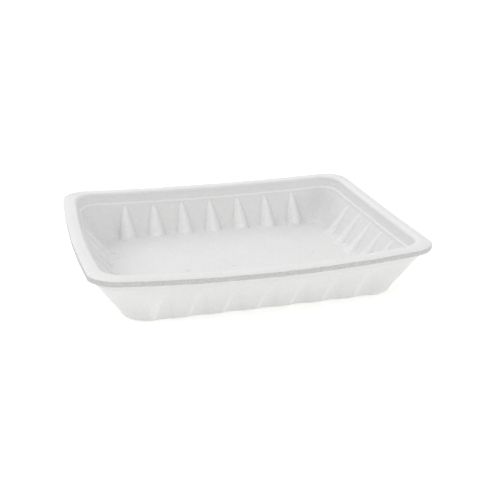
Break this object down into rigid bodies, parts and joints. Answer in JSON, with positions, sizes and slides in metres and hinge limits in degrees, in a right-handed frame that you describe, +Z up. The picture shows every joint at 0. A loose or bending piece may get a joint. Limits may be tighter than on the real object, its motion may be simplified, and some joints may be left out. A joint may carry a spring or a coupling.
{
  "type": "foam meat tray",
  "caption": "Deep white foam food tray with a rolled flange, a stacking step, and ribbed sloping walls around a flat floor.",
  "frame": {"origin": "centre of the flat underside, where the tray stands", "axes": "+X along the long side, +Y across, +Z up out of the tray's mouth"},
  "size_m": [0.286, 0.2318, 0.0469],
  "materials": {
    "white_foam": "satin foam skin with a fine cell grain, rougher on the cut edge"
  },
  "bodies": {
    "root": {"foam_tray": "white_foam"}
  },
  "joints": []
}
